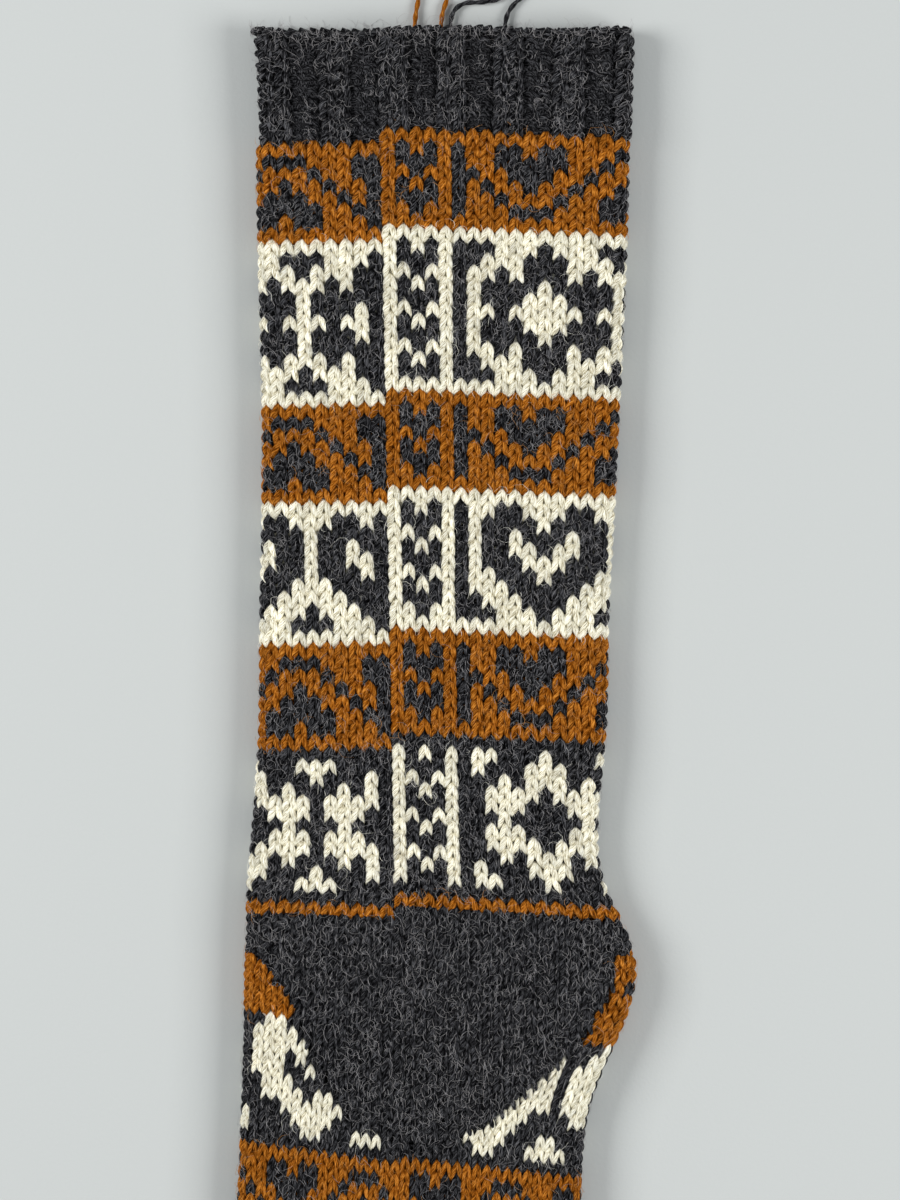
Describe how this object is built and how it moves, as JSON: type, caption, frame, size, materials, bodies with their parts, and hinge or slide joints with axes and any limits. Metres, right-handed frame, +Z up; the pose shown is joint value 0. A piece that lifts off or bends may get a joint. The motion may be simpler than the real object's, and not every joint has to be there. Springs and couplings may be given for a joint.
{
  "type": "knitted sock",
  "caption": "Hand-knitted colourwork wool sock with ribbed cuff, banded leg, cupped heel and closed toe, lying flat.",
  "frame": {"origin": "under the middle of the sock, on the surface it lies on", "axes": "+Z up out of the heel side; +Y along the sock from the toe to the cuff; +X to the right seen from above"},
  "size_m": [0.1155, 0.5204, 0.0112],
  "materials": {
    "charcoal_wool": "charcoal heather two-ply wool, softly hairy, matt",
    "rust_wool": "rust orange two-ply wool, softly hairy, matt",
    "cream_wool": "undyed cream two-ply wool, softly hairy, matt"
  },
  "bodies": {
    "leg": {"cast_on_edge": "charcoal_wool", "ribbed_cuff": "charcoal_wool", "rust_heart_band_upper": "rust_wool", "cream_flower_band": "cream_wool", "rust_heart_band_middle": "rust_wool", "cream_heart_band": "cream_wool", "rust_heart_band_lower": "rust_wool", "charcoal_flower_band": "charcoal_wool", "rust_stripe": "rust_wool", "rust_yarn_end_left": "rust_wool", "rust_yarn_end_right": "rust_wool", "charcoal_yarn_end_left": "charcoal_wool", "charcoal_yarn_end_right": "charcoal_wool"},
    "foot": {"heel_cup": "charcoal_wool", "instep_rust_band": "rust_wool", "instep_charcoal_band": "charcoal_wool", "foot_rust_heart_band": "rust_wool", "foot_cream_flower_band": "cream_wool", "foot_rust_stripe_band": "rust_wool", "foot_charcoal_band": "charcoal_wool", "toe_cap": "charcoal_wool", "grafted_toe_seam": "charcoal_wool"}
  },
  "joints": [
    {"name": "fold_over", "type": "hinge", "parent": "leg", "child": "foot", "pos_m": [0, -0.00565, 0.0113], "axis": [-1, 0, 0], "range_deg": [0, 165]}
  ]
}
